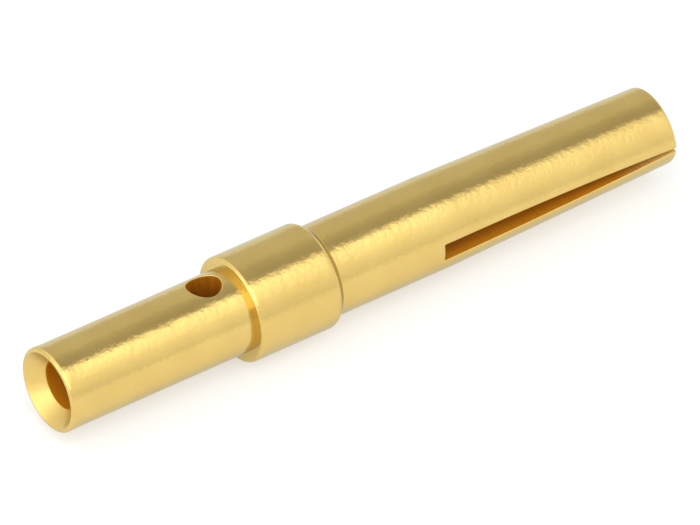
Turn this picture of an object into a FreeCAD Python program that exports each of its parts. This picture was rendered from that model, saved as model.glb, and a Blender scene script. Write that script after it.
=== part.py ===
import FreeCAD, Part
import math
import os

# Crimp socket contact of a circular connector: one piece of brass, turned, cross-drilled, slit
# and closed in at the tip, then plated all over.
# Frame: the axis lies along X, from the crimp mouth at -X to the socket tip at +X, and +Z is up,
# on the side of the inspection hole. The origin is on the axis, in the plane of the collar's rear
# shoulder. Lengths are in millimetres and angles in degrees.

# Crimp barrel, from its mouth to the rear shoulder
barrel_length = 6.25
barrel_radius = 1.275
lip_radius = 1.295
lip_length = 0.45
lip_edge_radius = 0.11
crimp_bore_radius = 0.725
crimp_bore_stop = 0.65         # full bore ends this far short of the shoulder
countersink_radius = 1.17
countersink_angle = 90.0       # included angle of the cone that guides the strands in

# Inspection hole, which shows that the strands reach the end of the bore
hole_radius = 0.51
hole_setback = 0.84            # centre of the hole to the shoulder
hole_turn = 6.0                # turned this far from +Z, away from -Y

# Collar that the retaining clip holds
collar_height = 0.225          # how far it stands out from the thicker of barrel and body
collar_length = 2.71           # rear shoulder to the front chamfer
collar_root_radius = 0.06
collar_rear_radius = 0.10      # round the edge of the rear shoulder
collar_front_radius = 0.20     # round the edge of the front chamfer
collar_front_angle = 45.0      # of the front chamfer against the axis

# Socket, from the rear shoulder to the tip
socket_length = 14.60
body_radius = 1.375
socket_bore_radius = 0.84
socket_bore_extra = 1.0        # full bore runs this far past the slot's root
drill_point_angle = 118.0      # included angle at the bottom of both bores

# Tines, sawn apart by one slot along Y and closed in towards the tip
tine_length = 8.15
tine_straight = 0.40           # length at the root before the outside starts to close in
slot_width = 0.57
tip_gap = 0.10                 # what is left of the slot at the tip
tine_squeeze = 0.065           # loss of radius at the tip
tip_edge_radius = 0.09         # round the outside, and where the slot runs out
lead_in = 0.15                 # chamfer at the tip of the bore, which guides the pin in

# Room that cutting shapes have past what they cut
cut_past = 0.5

collar_radius = max(barrel_radius, body_radius) + collar_height

# Places along the axis
mouth_x = -barrel_length
lip_end_x = mouth_x + lip_length
hole_x = -hole_setback
collar_front_x = collar_length
body_start_x = collar_front_x + (collar_radius - body_radius) / math.tan(math.radians(collar_front_angle))
tip_x = socket_length
slot_root_x = tip_x - tine_length
bend_x = slot_root_x + tine_straight
slot_middle_x = (slot_root_x + tip_x) / 2

# How far a tine moves in at the tip, and how much of that is a shift of its centre
closing = (slot_width - tip_gap) / 2
tine_shift = closing - tine_squeeze
tip_radius = body_radius - tine_squeeze
tip_bore_radius = socket_bore_radius - tine_squeeze

X_AXIS = FreeCAD.Vector(1, 0, 0)
ORIGIN = FreeCAD.Vector(0, 0, 0)


def turned(outline):
    """Solid of revolution about X from (x, radius) points that start and end on the axis."""
    points = [FreeCAD.Vector(x, radius, 0) for x, radius in outline]
    profile = Part.Face(Part.makePolygon(points + points[:1]))
    return profile.revolve(ORIGIN, X_AXIS, 360)


def ring_edge(solid, x, radius):
    """Circular edge about X of the given radius, in the plane at x."""
    def distance(edge):
        return abs(edge.CenterOfMass.x - x) + abs(edge.Curve.Radius - radius)
    circles = [edge for edge in solid.Edges if isinstance(edge.Curve, Part.Circle)]
    return min(circles, key=distance)


def point_depth(radius):
    """Depth of the cone that a drill leaves at the bottom of a bore."""
    return radius / math.tan(math.radians(drill_point_angle / 2))


def blank():
    """Outside of the barrel, collar and body as far as the slot's root."""
    solid = turned([
        (mouth_x, 0),
        (mouth_x, lip_radius),
        (lip_end_x, barrel_radius),
        (0, barrel_radius),
        (0, collar_radius),
        (collar_front_x, collar_radius),
        (body_start_x, body_radius),
        (slot_root_x, body_radius),
        (slot_root_x, 0),
    ])
    solid = solid.makeFillet(lip_edge_radius, [ring_edge(solid, mouth_x, lip_radius)])
    solid = solid.makeFillet(collar_rear_radius, [ring_edge(solid, 0, collar_radius)])
    solid = solid.makeFillet(collar_front_radius, [ring_edge(solid, collar_front_x, collar_radius)])
    return solid.makeFillet(collar_root_radius, [ring_edge(solid, 0, barrel_radius)])


def crimp_bore():
    """Countersunk blind bore that takes the stripped wire."""
    cone_slope = math.tan(math.radians(countersink_angle / 2))
    cone_end_x = mouth_x + (countersink_radius - crimp_bore_radius) / cone_slope
    bore_end_x = -crimp_bore_stop
    return turned([
        (mouth_x - cut_past, 0),
        (mouth_x - cut_past, countersink_radius + cut_past * cone_slope),
        (cone_end_x, crimp_bore_radius),
        (bore_end_x, crimp_bore_radius),
        (bore_end_x + point_depth(crimp_bore_radius), 0),
    ])


def inspection_hole():
    """Round hole drilled from one side of the barrel into the crimp bore."""
    turn = math.radians(hole_turn)
    direction = FreeCAD.Vector(0, math.sin(turn), math.cos(turn))
    start = FreeCAD.Vector(hole_x, 0, 0)
    return Part.makeCylinder(hole_radius, barrel_radius + cut_past, start, direction)


def socket_bore():
    """Blind bore for the pin, from the slot's root to the bottom left by the drill."""
    bore_end_x = slot_root_x - socket_bore_extra
    return turned([
        (slot_root_x + cut_past, 0),
        (slot_root_x + cut_past, socket_bore_radius),
        (bore_end_x, socket_bore_radius),
        (bore_end_x - point_depth(socket_bore_radius), 0),
    ])


def closing_shape(root_radius, end_radius, side):
    """Solid round shape that is straight at the tine's root and then bends to the axis."""
    def circle(x, z, radius):
        return Part.Wire(Part.makeCircle(radius, FreeCAD.Vector(x, 0, z), X_AXIS))
    straight = Part.makeCylinder(root_radius, tine_straight, FreeCAD.Vector(slot_root_x, 0, 0), X_AXIS)
    ends = [circle(bend_x, 0, root_radius), circle(tip_x, -side * tine_shift, end_radius)]
    return straight.fuse(Part.makeLoft(ends, True, True))


def tine_side(side):
    """Space on one side of the slot. The sawn flank curves towards the axis."""
    top = side * (body_radius + cut_past)

    def corner(x, z):
        return FreeCAD.Vector(x, -body_radius - cut_past, z)
    root = corner(slot_root_x, side * slot_width / 2)
    middle = corner(slot_middle_x, side * (slot_width / 2 - closing / 4))
    end = corner(tip_x - tip_edge_radius, side * tip_gap / 2)
    flank = Part.Arc(root, middle, end).toShape()

    def on_rounding(angle):
        rise = 1 - math.cos(math.radians(angle))
        ahead = math.sin(math.radians(angle))
        return end + FreeCAD.Vector(ahead, 0, side * rise) * tip_edge_radius
    rounding = Part.Arc(end, on_rounding(45), on_rounding(90)).toShape()
    rest = Part.makePolygon([on_rounding(90), corner(tip_x, top), corner(slot_root_x, top), root])
    outline = Part.Wire([flank, rounding] + rest.Edges)
    return Part.Face(outline).extrude(FreeCAD.Vector(0, 2 * (body_radius + cut_past), 0))


def tine(side):
    """One spring tine, above the slot for side 1 and below it for side -1."""
    outside = closing_shape(body_radius, tip_radius, side)
    outside = outside.makeFillet(tip_edge_radius, [ring_edge(outside, tip_x, tip_radius)])
    ring = outside.cut(closing_shape(socket_bore_radius, tip_bore_radius, side))
    ring = ring.makeChamfer(lead_in, [ring_edge(ring, tip_x, tip_bore_radius)])
    return ring.common(tine_side(side))


def socket_contact():
    """Whole contact, fused into one solid as the real one is cut from one bar."""
    turned_part = blank().cut(crimp_bore()).cut(inspection_hole()).cut(socket_bore())
    return turned_part.fuse([tine(1), tine(-1)]).removeSplitter()


os.makedirs("parts", exist_ok=True)
contact = socket_contact()
contact.exportStep("parts/socket_contact.step")
print("solids", len(contact.Solids), "valid", contact.isValid(), "volume", round(contact.Volume, 3))
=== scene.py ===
import math

import bmesh
import bpy
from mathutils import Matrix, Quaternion, Vector


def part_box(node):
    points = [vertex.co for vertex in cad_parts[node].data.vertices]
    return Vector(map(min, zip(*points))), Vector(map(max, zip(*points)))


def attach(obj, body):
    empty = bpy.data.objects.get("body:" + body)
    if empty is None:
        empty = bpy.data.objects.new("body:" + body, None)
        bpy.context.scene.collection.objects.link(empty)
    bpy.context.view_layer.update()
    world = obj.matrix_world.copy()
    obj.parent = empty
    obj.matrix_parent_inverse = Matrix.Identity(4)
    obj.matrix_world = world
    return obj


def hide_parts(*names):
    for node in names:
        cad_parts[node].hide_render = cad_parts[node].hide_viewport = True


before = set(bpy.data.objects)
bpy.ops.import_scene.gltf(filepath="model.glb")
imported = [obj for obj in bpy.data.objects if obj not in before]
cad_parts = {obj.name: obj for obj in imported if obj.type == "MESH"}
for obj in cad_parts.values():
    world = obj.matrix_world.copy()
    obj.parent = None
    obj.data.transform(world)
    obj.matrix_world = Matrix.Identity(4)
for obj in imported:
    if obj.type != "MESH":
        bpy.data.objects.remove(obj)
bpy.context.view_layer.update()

# A gold-plated crimp socket contact on a white studio floor. The axis lies along X, from the crimp
# mouth at -X to the socket tip at +X. The inspection hole is on top, turned a little towards +Y.
# Lengths are in metres.

MM = 0.001
LOW, HIGH = (Vector(corner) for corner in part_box("socket_contact"))

# Ends and collar, from the frame
MOUTH_X = LOW.x
TIP_X = HIGH.x
COLLAR_RADIUS = (HIGH.z - LOW.z) / 2

# Crimp barrel
BARREL_RADIUS = 1.275 * MM
LIP_RADIUS = 1.295 * MM
LIP_LENGTH = 0.45 * MM
LIP_EDGE = 0.11 * MM
COUNTERSINK_RADIUS = 1.17 * MM
COUNTERSINK_ANGLE = math.radians(90)
CRIMP_BORE_RADIUS = 0.725 * MM
CRIMP_BORE_STOP = 0.65 * MM
DRILL_POINT_ANGLE = math.radians(118)

# Inspection hole
HOLE_RADIUS = 0.51 * MM
HOLE_SETBACK = 0.84 * MM
HOLE_TURN = math.radians(6)
HOLE_EDGE = 0.03 * MM

# Collar and body
COLLAR_LENGTH = 2.71 * MM
COLLAR_REAR_EDGE = 0.10 * MM
COLLAR_FRONT_EDGE = 0.20 * MM
BODY_RADIUS = 1.375 * MM

# Socket and tines
SOCKET_BORE_RADIUS = 0.84 * MM
SOCKET_BORE_EXTRA = 1.0 * MM
TINE_LENGTH = 8.15 * MM
TINE_STRAIGHT = 0.40 * MM
SLOT_WIDTH = 0.57 * MM
TIP_GAP = 0.10 * MM
TINE_SQUEEZE = 0.065 * MM
TIP_EDGE = 0.09 * MM
LEAD_IN = 0.15 * MM

# Wear left by tumbling: every other edge is broken by about this much
SOFT_EDGE = 0.025 * MM

# Places along the axis
LIP_END_X = MOUTH_X + LIP_LENGTH
COUNTERSINK_DEPTH = (COUNTERSINK_RADIUS - CRIMP_BORE_RADIUS) / math.tan(COUNTERSINK_ANGLE / 2)
COUNTERSINK_END_X = MOUTH_X + COUNTERSINK_DEPTH
CRIMP_END_X = -CRIMP_BORE_STOP
CRIMP_POINT_X = CRIMP_END_X + CRIMP_BORE_RADIUS / math.tan(DRILL_POINT_ANGLE / 2)
HOLE_X = -HOLE_SETBACK
BODY_START_X = COLLAR_LENGTH + COLLAR_RADIUS - BODY_RADIUS
SLOT_ROOT_X = TIP_X - TINE_LENGTH
BEND_X = SLOT_ROOT_X + TINE_STRAIGHT
LEAD_IN_X = TIP_X - LEAD_IN
SOCKET_END_X = SLOT_ROOT_X - SOCKET_BORE_EXTRA
SOCKET_POINT_X = SOCKET_END_X - SOCKET_BORE_RADIUS / math.tan(DRILL_POINT_ANGLE / 2)

# How far a tine moves in at the tip, and how much of it is a shift of its centre
CLOSING = (SLOT_WIDTH - TIP_GAP) / 2
TINE_SHIFT = CLOSING - TINE_SQUEEZE

# Mesh steps and limits
TINE_STEPS = 96
SLOT_STEPS = 12
ROUND_STEPS = 5
ROW_STEP = 0.16 * MM
POINT_FAN_LENGTH = 0.05 * MM
WELD_DISTANCE = 0.0002 * MM
SHARP_ANGLE = math.radians(35)

# The rectangle of rows and columns that the inspection hole is set into
HOLE_ROWS = 12
HOLE_CONE_ROWS = 4
HOLE_HALF_COLUMNS = 46
HOLE_RINGS = 18
HOLE_REAR_MARGIN = 0.25 * MM
HOLE_FRONT_MARGIN = 0.12 * MM
HOLE_FIELD_START = HOLE_X - HOLE_RADIUS - HOLE_REAR_MARGIN
HOLE_FIELD_END = HOLE_X + HOLE_RADIUS + HOLE_FRONT_MARGIN

# Order of the contact's materials; the second and fourth paint shade into the bores, the slot and
# the hole
OUTSIDE, RECESS_SHADE, COUNTERSUNK, HOLE_SHADE = range(4)

# Limits between those materials, for the way a face points and for its height; they decide which
# faces get painted shade
FACING_IN = -0.3
FACING_OUT = 0.25
FACING_END = 0.95
HOLE_WALL_Z = 0.7 * CRIMP_BORE_RADIUS

# Plating: colours of the outside, the tint it has edge on, and the depths of its relief
GOLD = (0.75, 0.54, 0.165)
GOLD_BLOTCH = (0.72, 0.505, 0.15)
EDGE_TINT = (0.64, 0.71, 0.72)
DENT_DEPTH = 9e-6
PIT_DEPTH = 8e-6
GRAIN_DEPTH = 0.8e-6
RING_DEPTH = 4e-6

# Where the painted shade of the slot gives way to the outside's gold, towards the tip
SHADE_FADE_START_X = TIP_X - 2.4 * MM
SHADE_FADE_END_X = TIP_X - 0.5 * MM

# Studio: middle, radius and steps of its cards, and half the width of its floor
CENTRE = (LOW + HIGH) / 2
STUDIO_RADIUS = 0.30
FLOOR_HALF = 4.0
CARD_STEPS = 24

# Light of world and floor, and what they add where a ray sees them directly
WORLD_LIGHT = 0.8
WORLD_SEEN = 0.2
FLOOR_LIGHT = 0.49
FLOOR_SEEN = 0.50

# Curved cards: name, two angles in degrees, two ends in X and the strength at each angle
SIDE_CARDS = (
    ("softbox", 105, 140, 0.06, 0.165, 2.0, 1.35),
    ("softbox_front", 112, 140, 0.165, 0.30, 1.25, 1.2),
    ("softbox_skirt", 140, 180, 0.06, 0.30, 1.25, 0.93),
    ("lamp", 104, 150, -0.30, 0.06, 2.6, 2.0),
    ("overhead_card", 60, 98, 0.04, 0.40, 0.62, 0.40),
    ("rear_card", 8, 60, 0.04, 0.40, 0.75, 0.70),
    ("overhead_fill", 60, 100, -0.40, 0.02, 1.35, 1.5),
    ("rear_fill", 8, 60, -0.40, 0.02, 1.0, 1.25),
)

# Flat cards: name, place in X, two sides in Y, two heights in Z and the strength
END_CARDS = (
    ("mouth_card", -0.45, -0.25, 0.26, 0.03, 0.32, 2.2),
    ("tip_card", 0.45, -0.30, 0.05, 0.0, 0.30, 1.15),
)

# Camera of the photograph, aimed at a point near the contact's middle
CAMERA_TURN = math.radians(35.84)
CAMERA_RISE = math.radians(40.13)
CAMERA_ROLL = math.radians(1.18)
CAMERA_DISTANCE = 0.600
CAMERA_TARGET = Vector((4.125, 0, -0.179)) * MM
CAMERA_LENS = 1092
CAMERA_SENSOR = 36


def rounded(corners):
    """Points of an outline of (x, radius, rounding) corners, with each corner rounded."""
    points = [Vector(corners[0][:2])]
    for before, here, after in zip(corners, corners[1:], corners[2:]):
        corner = Vector(here[:2])
        back = (Vector(before[:2]) - corner).normalized()
        ahead = (Vector(after[:2]) - corner).normalized()
        rounding = here[2]
        if rounding == 0:
            points.append(corner)
            continue
        half = back.angle(ahead) / 2
        reach = rounding / math.tan(half)
        centre = corner + (back + ahead).normalized() * rounding / math.sin(half)
        start = corner + back * reach - centre
        turn = start.angle_signed(corner + ahead * reach - centre)
        for step in range(ROUND_STEPS + 1):
            angle = -turn * step / ROUND_STEPS
            spoke = Vector((start.x * math.cos(angle) - start.y * math.sin(angle),
                            start.x * math.sin(angle) + start.y * math.cos(angle)))
            points.append(centre + spoke)
    points.append(Vector(corners[-1][:2]))
    return points


def spaced(start, end, count):
    """Points that part the line from start to end into equal steps, with both ends."""
    return [start.lerp(end, step / count) for step in range(count + 1)]


def stepped(points):
    """The same outline with more points on its long straight runs."""
    rows = [points[0]]
    for start, end in zip(points, points[1:]):
        rows += spaced(start, end, max(1, round((end - start).length / ROW_STEP)))[1:]
    return rows


def ring_angles(radius):
    """Angles round a ring, from +Z towards +Y. Each slot corner falls on one of them."""
    slot_half = math.asin(SLOT_WIDTH / 2 / radius)
    quarter = math.pi / 2
    borders = [-quarter + slot_half, quarter - slot_half, quarter + slot_half,
               3 * quarter - slot_half, 3 * quarter + slot_half]
    counts = [TINE_STEPS, SLOT_STEPS, TINE_STEPS, SLOT_STEPS]
    angles = []
    for start, end, count in zip(borders, borders[1:], counts):
        angles += [start + (end - start) * step / count for step in range(count)]
    return angles


def lathe(bm, rows, slot_radius, field=None):
    """Skin of a turned surface. Faces in the field of rows and columns are left out."""
    angles = ring_angles(slot_radius)
    grid = [[bm.verts.new((x, radius * math.sin(angle), radius * math.cos(angle)))
             for angle in angles] for x, radius in rows]
    count = len(angles)
    for row, (here, ahead) in enumerate(zip(grid, grid[1:])):
        for column in range(count):
            if field and field[0] <= row < field[1] and field[2] <= column < field[3]:
                continue
            after = (column + 1) % count
            bm.faces.new((here[column], here[after], ahead[after], ahead[column]))
    return grid


def border(grid, field):
    """Vertices round the edge of a field, in order."""
    first_row, last_row, first, last = field
    loop = [grid[first_row][column] for column in range(first, last)]
    loop += [grid[row][last] for row in range(first_row, last_row)]
    loop += [grid[last_row][column] for column in range(last, first, -1)]
    loop += [grid[row][first] for row in range(last_row, first_row, -1)]
    return loop


def bridge(bm, loop_a, loop_b):
    """Quads between two closed loops of equally many vertices."""
    count = len(loop_a)
    for index in range(count):
        after = (index + 1) % count
        bm.faces.new((loop_a[index], loop_a[after], loop_b[after], loop_b[index]))


def hole_place(x, across, height):
    """Point of the inspection hole's own frame, in which height runs along the hole."""
    return Vector((x, height * math.sin(HOLE_TURN) + across * math.cos(HOLE_TURN),
                   height * math.cos(HOLE_TURN) - across * math.sin(HOLE_TURN)))


def from_hole_axis(point):
    """Where a point lies as seen along the inspection hole, as x and across from its axis."""
    across = point.y * math.cos(HOLE_TURN) - point.z * math.sin(HOLE_TURN)
    return point.x - HOLE_X, across


def crimp_radius(x):
    """Radius of the crimp bore at x, cylinder or drill point."""
    return min(CRIMP_BORE_RADIUS, (CRIMP_POINT_X - x) * math.tan(DRILL_POINT_ANGLE / 2))


def rim_ring(bm, spokes, radius, depth):
    """Ring round the hole, the given depth below the barrel's surface."""
    ring = []
    for spoke in spokes:
        across = radius * math.sin(spoke)
        height = math.sqrt(BARREL_RADIUS ** 2 - across ** 2) - depth
        ring.append(bm.verts.new(hole_place(HOLE_X + radius * math.cos(spoke), across, height)))
    return ring


def inspection_hole(bm, outer_loop, inner_loop):
    """Hole through the barrel's wall, with a softened edge, between the loops left open for it."""
    corners = [from_hole_axis(vertex.co) for vertex in outer_loop]
    spokes = [math.atan2(across, x) for x, across in corners]

    # Rings on the barrel, from the outer loop to the hole's edge
    loop = outer_loop
    for step in range(1, HOLE_RINGS + 1):
        ring = []
        for corner, spoke in zip(corners, spokes):
            rim = Vector((math.cos(spoke), math.sin(spoke))) * (HOLE_RADIUS + HOLE_EDGE)
            place = Vector(corner).lerp(rim, step / HOLE_RINGS)
            height = math.sqrt(BARREL_RADIUS ** 2 - place.y ** 2)
            ring.append(bm.verts.new(hole_place(HOLE_X + place.x, place.y, height)))
        bridge(bm, loop, ring)
        loop = ring

    # The edge's rounding
    for step in range(1, ROUND_STEPS + 1):
        turn = math.pi / 2 * step / ROUND_STEPS
        ring = rim_ring(bm, spokes, HOLE_RADIUS + HOLE_EDGE * (1 - math.sin(turn)),
                        HOLE_EDGE * (1 - math.cos(turn)))
        bridge(bm, loop, ring)
        loop = ring

    # The hole's wall, down to the crimp bore, and the bore from there to the inner loop
    inside = []
    for spoke in spokes:
        x = HOLE_X + HOLE_RADIUS * math.cos(spoke)
        across = HOLE_RADIUS * math.sin(spoke)
        height = math.sqrt(crimp_radius(x) ** 2 - across ** 2)
        inside.append(bm.verts.new(hole_place(x, across, height)))
    bridge(bm, loop, inside)
    bridge(bm, inside, inner_loop)


def barrel_and_body(bm):
    """Skin from the bottom of the crimp bore, round the mouth and over the collar to the slot."""
    middle = round(HOLE_TURN / (math.pi / TINE_STEPS)) + TINE_STEPS // 2
    columns = (middle - HOLE_HALF_COLUMNS, middle + HOLE_HALF_COLUMNS)
    field = (0, HOLE_ROWS, *columns)

    bore_start = Vector((HOLE_FIELD_START, CRIMP_BORE_RADIUS))
    bore_end = Vector((CRIMP_END_X, CRIMP_BORE_RADIUS))
    cone_end_x = CRIMP_POINT_X - POINT_FAN_LENGTH
    cone_end = Vector((cone_end_x, crimp_radius(cone_end_x)))
    bore = (spaced(bore_start, bore_end, HOLE_ROWS - HOLE_CONE_ROWS)
            + spaced(bore_end, cone_end, HOLE_CONE_ROWS)[1:])
    inside = lathe(bm, [Vector((CRIMP_POINT_X, 0))] + bore[::-1], BODY_RADIUS,
                   (1, 1 + HOLE_ROWS, *columns))

    mouth = rounded([
        (HOLE_FIELD_START, CRIMP_BORE_RADIUS, 0),
        (COUNTERSINK_END_X, CRIMP_BORE_RADIUS, 2 * SOFT_EDGE),
        (MOUTH_X, COUNTERSINK_RADIUS, SOFT_EDGE),
        (MOUTH_X, LIP_RADIUS, LIP_EDGE),
        (LIP_END_X, BARREL_RADIUS, LIP_LENGTH),
        (HOLE_FIELD_START, BARREL_RADIUS, 0),
    ])
    lathe(bm, stepped(mouth), BODY_RADIUS)

    wall_start = Vector((HOLE_FIELD_START, BARREL_RADIUS))
    wall_end = Vector((HOLE_FIELD_END, BARREL_RADIUS))
    outside = lathe(bm, spaced(wall_start, wall_end, HOLE_ROWS), BODY_RADIUS, field)
    inspection_hole(bm, border(outside, field), border(inside[::-1], field))

    front = rounded([
        (HOLE_FIELD_END, BARREL_RADIUS, 0),
        (0, BARREL_RADIUS, 0),
        (0, COLLAR_RADIUS, COLLAR_REAR_EDGE),
        (COLLAR_LENGTH, COLLAR_RADIUS, COLLAR_FRONT_EDGE),
        (BODY_START_X, BODY_RADIUS, 2 * SOFT_EDGE),
        (SLOT_ROOT_X, BODY_RADIUS, 0),
    ])
    return lathe(bm, stepped(front), BODY_RADIUS)[-1]


def socket_bottom(bm):
    """Skin of the socket bore behind the slot's root."""
    bore = [
        Vector((SOCKET_POINT_X, 0)),
        Vector((SOCKET_END_X, SOCKET_BORE_RADIUS)),
        Vector((SLOT_ROOT_X, SOCKET_BORE_RADIUS)),
    ]
    return lathe(bm, stepped(bore), SOCKET_BORE_RADIUS)[-1]


def slot_root(bm, outer_ring, inner_ring):
    """The two flat ends of the slot, between the body's ring and the bore's ring."""
    half = TINE_STEPS + SLOT_STEPS
    for start in (TINE_STEPS, TINE_STEPS + half):
        columns = [(start + step) % (2 * half) for step in range(SLOT_STEPS + 1)]
        outer = [outer_ring[column] for column in columns]
        inner = [inner_ring[column] for column in columns]
        bm.faces.new(outer + inner[::-1])


def arc(centre, radius, start, end, steps):
    """Points of a circular arc in the Y and Z plane, with angles from +Y towards +Z."""
    angles = [start + (end - start) * step / steps for step in range(steps + 1)]
    return [Vector((centre.x + radius * math.cos(angle), centre.y + radius * math.sin(angle)))
            for angle in angles]


def bent_share(x):
    """How much of a tine's bend is done at x, from 0 to 1."""
    return max(0, (x - BEND_X) / (TIP_X - BEND_X))


def tip_rounding(x):
    """How much the rounding at the tip takes off an edge at x."""
    nose = min(TIP_EDGE, max(0, x - (TIP_X - TIP_EDGE)))
    return TIP_EDGE - math.sqrt(TIP_EDGE ** 2 - nose ** 2)


def tine_section(x, outer_radius, inner_radius, edge):
    """Closed outline, as (y, z), of the upper tine at x, with its four long edges rounded."""
    along = (x - SLOT_ROOT_X) / TINE_LENGTH
    flank = SLOT_WIDTH / 2 - CLOSING * along ** 2 + tip_rounding(x)
    centre = Vector((0, -TINE_SHIFT * bent_share(x)))
    rise = flank + edge - centre.y
    outer_angle = math.asin(rise / (outer_radius - edge))
    inner_angle = math.asin(rise / (inner_radius + edge))
    outer_edge = Vector(((outer_radius - edge) * math.cos(outer_angle), flank + edge))
    inner_edge = Vector(((inner_radius + edge) * math.cos(inner_angle), flank + edge))
    down = -math.pi / 2
    outside = arc(centre, outer_radius, math.pi - outer_angle, outer_angle, TINE_STEPS)
    right = (arc(outer_edge, edge, outer_angle, down, ROUND_STEPS)
             + arc(inner_edge, edge, down, inner_angle - math.pi, ROUND_STEPS))
    inside = arc(centre, inner_radius, inner_angle, math.pi - inner_angle, TINE_STEPS)
    left = [Vector((-point.x, point.y)) for point in reversed(right)]
    return outside + right + inside + left


def tine_stations():
    """Stations of a tine as (x, outer radius, inner radius, edge rounding), from root to tip."""
    count = round((LEAD_IN_X - BEND_X) / ROW_STEP)
    places = [SLOT_ROOT_X, SLOT_ROOT_X + 2 * SOFT_EDGE, BEND_X]
    places += [BEND_X + (LEAD_IN_X - BEND_X) * step / count for step in range(1, count + 1)]
    places += [TIP_X - TIP_EDGE * (1 - math.sin(math.pi / 2 * step / ROUND_STEPS))
               for step in range(ROUND_STEPS + 1)]
    stations = []
    for x in places:
        squeeze = TINE_SQUEEZE * bent_share(x)
        outer = BODY_RADIUS - squeeze - tip_rounding(x)
        inner = SOCKET_BORE_RADIUS - squeeze + max(0, x - LEAD_IN_X)
        stations.append((x, outer, inner, 0 if x == SLOT_ROOT_X else SOFT_EDGE))
    return stations


def tine(bm, side):
    """One spring tine, above the slot for side 1 and below it for side -1."""
    loops = []
    for x, outer, inner, edge in tine_stations():
        section = tine_section(x, outer, inner, edge)
        loops.append([bm.verts.new((x, point.x, side * point.y)) for point in section])
    for before, after in zip(loops, loops[1:]):
        bridge(bm, before, after)
    bm.faces.new(loops[-1])


def material_of(face):
    """Which of the contact's materials a face has. Inward faces of the bores, the slot and the
    hole get painted shade.
    """
    middle = face.calc_center_median()
    outward = face.normal.dot(Vector((0, middle.y, middle.z)).normalized())
    if middle.x < COUNTERSINK_END_X:
        return COUNTERSUNK if outward < FACING_IN else OUTSIDE
    faces_end = abs(face.normal.x) > FACING_END
    if outward > FACING_OUT or faces_end and middle.x > HOLE_FIELD_END:
        return OUTSIDE
    # The hole's wall gets the deepest painted shade
    in_hole = abs(middle.x - HOLE_X) < HOLE_RADIUS and middle.z > HOLE_WALL_Z
    return HOLE_SHADE if in_hole else RECESS_SHADE


def contact_mesh():
    """The whole contact as one closed mesh."""
    bm = bmesh.new()
    outer_ring = barrel_and_body(bm)
    inner_ring = socket_bottom(bm)
    slot_root(bm, outer_ring, inner_ring)
    tine(bm, 1)
    tine(bm, -1)
    bmesh.ops.remove_doubles(bm, verts=bm.verts, dist=WELD_DISTANCE)
    bmesh.ops.dissolve_degenerate(bm, edges=bm.edges, dist=WELD_DISTANCE)
    bmesh.ops.recalc_face_normals(bm, faces=bm.faces)
    for face in bm.faces:
        face.material_index = material_of(face)
    mesh = bpy.data.meshes.new("contact")
    bm.to_mesh(mesh)
    bm.free()
    mesh.shade_smooth()
    mesh.set_sharp_from_angle(angle=SHARP_ANGLE)
    return mesh


class Nodes:
    """Short names for building a node tree."""

    def __init__(self, tree):
        self.tree = tree
        self.tree.nodes.clear()

    def add(self, kind, **settings):
        """A node, with settings as its properties."""
        node = self.tree.nodes.new(kind)
        for name, value in settings.items():
            setattr(node, name, value)
        return node

    def link(self, source, target):
        """A link from an output to an input."""
        self.tree.links.new(source, target)

    def value(self, operation, first, second):
        """Result of a mathematical operation on two outputs or numbers."""
        node = self.add("ShaderNodeMath", operation=operation)
        for socket, term in zip(node.inputs, (first, second)):
            if isinstance(term, (int, float)):
                socket.default_value = term
            else:
                self.link(term, socket)
        return node.outputs[0]

    def noise(self, place, scale, detail):
        """Noise whose grain is 1 / scale metres long in X, Y and Z."""
        mapping = self.add("ShaderNodeMapping")
        mapping.inputs["Scale"].default_value = scale
        self.link(place, mapping.inputs["Vector"])
        noise = self.add("ShaderNodeTexNoise")
        noise.inputs["Scale"].default_value = 1
        noise.inputs["Detail"].default_value = detail
        self.link(mapping.outputs[0], noise.inputs["Vector"])
        return noise.outputs["Fac"]

    def blend(self, factor, *stops):
        """Colour ramp over (position, colour) stops."""
        ramp = self.add("ShaderNodeValToRGB")
        elements = ramp.color_ramp.elements
        while len(elements) < len(stops):
            elements.new(1)
        for element, (position, colour) in zip(elements, stops):
            element.position = position
            element.color = (*colour, 1)
        self.link(factor, ramp.inputs["Fac"])
        return ramp.outputs["Color"]

    def remap(self, factor, low, high, start=0.3, end=0.7):
        """The factor's part between start and end, stretched to run from low to high."""
        node = self.add("ShaderNodeMapRange")
        node.inputs["From Min"].default_value = start
        node.inputs["From Max"].default_value = end
        node.inputs["To Min"].default_value = low
        node.inputs["To Max"].default_value = high
        self.link(factor, node.inputs["Value"])
        return node.outputs[0]

    def bump(self, height, depth, under=None):
        """Surface relief of the given depth, in metres, over another if there is one."""
        node = self.add("ShaderNodeBump")
        node.inputs["Strength"].default_value = 1
        node.inputs["Distance"].default_value = depth
        self.link(height, node.inputs["Height"])
        if under:
            self.link(under, node.inputs["Normal"])
        return node.outputs[0]


def new_material(name):
    """A material that has nothing but an output, as (material, nodes, surface input)."""
    material = bpy.data.materials.new(name)
    material.use_nodes = True
    nodes = Nodes(material.node_tree)
    output = nodes.add("ShaderNodeOutputMaterial")
    return material, nodes, output.inputs["Surface"]


def seen_directly(nodes):
    """1 for camera, mirror and glass rays, which see the plain background, and 0 for the rest."""
    path = nodes.add("ShaderNodeLightPath")
    seen = nodes.value("MAXIMUM", path.outputs["Is Camera Ray"], path.outputs["Is Glossy Ray"])
    return nodes.value("MAXIMUM", seen, path.outputs["Is Transmission Ray"])


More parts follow.
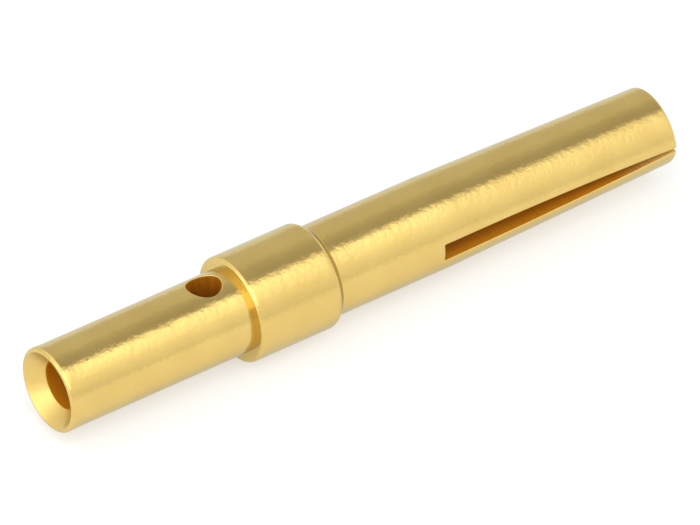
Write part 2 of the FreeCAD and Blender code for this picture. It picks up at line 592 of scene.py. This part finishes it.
def gold_material(name, low_roughness, high_roughness):
    """Gold plate over turned and tumbled brass."""
    material, nodes, surface = new_material(name)
    shader = nodes.add("ShaderNodeBsdfPrincipled")
    shader.inputs["Metallic"].default_value = 1
    shader.inputs["Specular Tint"].default_value = (*EDGE_TINT, 1)
    shader.inputs["Coat Weight"].default_value = 0.35
    shader.inputs["Coat Roughness"].default_value = 0.25

    place = nodes.add("ShaderNodeTexCoord").outputs["Object"]
    blotches = nodes.noise(place, (900, 700, 700), 2)
    dents = nodes.noise(place, (3600, 2600, 2600), 2)
    pits = nodes.noise(place, (7500, 6500, 6500), 3)
    grain = nodes.noise(place, (26000, 9000, 9000), 2)

    colour = nodes.blend(blotches, (0.35, GOLD), (0.65, GOLD_BLOTCH))
    nodes.link(colour, shader.inputs["Base Color"])
    nodes.link(nodes.remap(grain, low_roughness, high_roughness), shader.inputs["Roughness"])
    bump = nodes.bump(dents, DENT_DEPTH)
    bump = nodes.bump(pits, PIT_DEPTH, bump)
    bump = nodes.bump(grain, GRAIN_DEPTH, bump)
    nodes.link(bump, shader.inputs["Normal"])
    nodes.link(bump, shader.inputs["Coat Normal"])
    nodes.link(shader.outputs[0], surface)
    return material


def shaded_recess_material(name, light, dark):
    """Darker, redder gold for the bores, the hole and the slot: painted shade of these recesses,
    on rougher metal. The painted shade gives way to gold towards the tip.
    """
    material, nodes, surface = new_material(name)
    shader = nodes.add("ShaderNodeBsdfPrincipled")
    shader.inputs["Metallic"].default_value = 0.4
    shader.inputs["Specular IOR Level"].default_value = 0.15

    place = nodes.add("ShaderNodeTexCoord").outputs["Object"]
    rings = nodes.noise(place, (16000, 900, 900), 2)
    separate = nodes.add("ShaderNodeSeparateXYZ")
    nodes.link(place, separate.inputs[0])
    shade_fade = nodes.remap(separate.outputs["X"], 0, 0.6, SHADE_FADE_START_X, SHADE_FADE_END_X)

    # Drill rings vary between the light and the dark painted shade, and towards the tip the
    # painted shade fades from there to gold
    shade = nodes.value("ADD", nodes.remap(rings, 0, 0.3), shade_fade)
    colour = nodes.blend(shade, (0, light), (0.3, dark), (0.8, GOLD))
    nodes.link(colour, shader.inputs["Base Color"])
    nodes.link(nodes.remap(rings, 0.4, 0.55), shader.inputs["Roughness"])
    nodes.link(nodes.bump(rings, RING_DEPTH), shader.inputs["Normal"])
    nodes.link(shader.outputs[0], surface)
    return material


def floor_material():
    """White floor that keeps the contact's shadow."""
    material, nodes, surface = new_material("floor")
    lit = nodes.add("ShaderNodeBsdfDiffuse")
    lit.inputs["Color"].default_value = (FLOOR_LIGHT, FLOOR_LIGHT, FLOOR_LIGHT, 1)
    glow = nodes.add("ShaderNodeEmission")
    both = nodes.add("ShaderNodeAddShader")
    strength = nodes.value("MULTIPLY", seen_directly(nodes), FLOOR_SEEN)
    nodes.link(strength, glow.inputs["Strength"])
    nodes.link(lit.outputs[0], both.inputs[0])
    nodes.link(glow.outputs[0], both.inputs[1])
    nodes.link(both.outputs[0], surface)
    return material


def card_material():
    """Card of the studio, lit as strongly as its mesh says."""
    material, nodes, surface = new_material("card")
    glow = nodes.add("ShaderNodeEmission")
    strength = nodes.add("ShaderNodeAttribute", attribute_name="glow")
    nodes.link(strength.outputs["Fac"], glow.inputs["Strength"])
    nodes.link(glow.outputs[0], surface)
    return material


def white_world():
    """White surroundings."""
    world = bpy.data.worlds.new("studio")
    world.use_nodes = True
    nodes = Nodes(world.node_tree)
    output = nodes.add("ShaderNodeOutputWorld")
    background = nodes.add("ShaderNodeBackground")
    background.inputs["Color"].default_value = (1, 1, 1, 1)
    seen = nodes.value("MULTIPLY", seen_directly(nodes), WORLD_SEEN)
    nodes.link(nodes.value("ADD", seen, WORLD_LIGHT), background.inputs["Strength"])
    nodes.link(background.outputs[0], output.inputs["Surface"])
    bpy.context.scene.world = world


def add_object(name, data):
    """A new object in the scene."""
    added = bpy.data.objects.new(name, data)
    bpy.context.collection.objects.link(added)
    return added


def stage_card(material, name, rows, glows):
    """Invisible card over rows of two points each, with one strength for each row."""
    points = [point for row in rows for point in row]
    faces = [(2 * row, 2 * row + 1, 2 * row + 3, 2 * row + 2) for row in range(len(rows) - 1)]
    mesh = bpy.data.meshes.new(name)
    mesh.from_pydata(points, [], faces)
    strength = mesh.attributes.new("glow", "FLOAT", "POINT")
    strength.data.foreach_set("value", [glow for glow in glows for _ in range(2)])
    mesh.materials.append(material)
    card = add_object(name, mesh)
    card.visible_camera = False


def side_card(material, name, start, end, rear, front, start_glow, end_glow):
    """Curved card round the contact's axis, between two angles from +Y over +Z, in degrees."""
    rows = []
    glows = []
    for step in range(CARD_STEPS + 1):
        share = step / CARD_STEPS
        angle = math.radians(start + (end - start) * share)
        y = STUDIO_RADIUS * math.cos(angle)
        z = STUDIO_RADIUS * math.sin(angle)
        rows.append([CENTRE + Vector((x, y, z)) for x in (rear, front)])
        glows.append(start_glow + (end_glow - start_glow) * share)
    stage_card(material, name, rows, glows)


def end_card(material, name, x, left, right, low, high, glow):
    """Flat card across the contact's axis, from left to right in Y and from low to high in Z."""
    rows = [[CENTRE + Vector((x, y, z)) for y in (left, right)] for z in (low, high)]
    stage_card(material, name, rows, [glow, glow])


def floor():
    """Large floor that the collar touches."""
    mesh = bpy.data.meshes.new("floor")
    signs = ((-1, -1), (1, -1), (1, 1), (-1, 1))
    corners = [(x * FLOOR_HALF, y * FLOOR_HALF, LOW.z) for x, y in signs]
    mesh.from_pydata(corners, [], [(0, 1, 2, 3)])
    mesh.materials.append(floor_material())
    plane = add_object("floor", mesh)


def studio():
    """World, floor and cards."""
    white_world()
    floor()
    material = card_material()
    for card in SIDE_CARDS:
        side_card(material, *card)
    for card in END_CARDS:
        end_card(material, *card)


def camera():
    """Long lens from the crimp end, looking down on the contact."""
    data = bpy.data.cameras.new("camera")
    data.lens = CAMERA_LENS
    data.sensor_width = CAMERA_SENSOR
    back = Vector((-math.sin(CAMERA_TURN) * math.cos(CAMERA_RISE),
                   -math.cos(CAMERA_TURN) * math.cos(CAMERA_RISE),
                   math.sin(CAMERA_RISE)))
    rig = add_object("camera", data)
    rig.location = CAMERA_TARGET + back * CAMERA_DISTANCE
    facing = back.to_track_quat("Z", "Y") @ Quaternion((0, 0, 1), CAMERA_ROLL)
    rig.rotation_euler = facing.to_euler()
    bpy.context.scene.camera = rig


contact = add_object("contact", contact_mesh())
# The second and fourth materials are painted shade: darker gold in the bores and the slot, darkest
# in the hole
for contact_material in (
    gold_material("gold_plating", 0.16, 0.22),
    shaded_recess_material("gold_plating_drilled_shade", (0.69, 0.30, 0.014), (0.60, 0.24, 0.008)),
    gold_material("gold_plating_countersunk", 0.34, 0.40),
    shaded_recess_material("gold_plating_hole_shade", (0.52, 0.20, 0.010), (0.42, 0.14, 0.006)),
):
    contact.data.materials.append(contact_material)
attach(contact, "root")
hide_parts("socket_contact")

studio()
camera()
bpy.context.scene.view_settings.view_transform = "Standard"
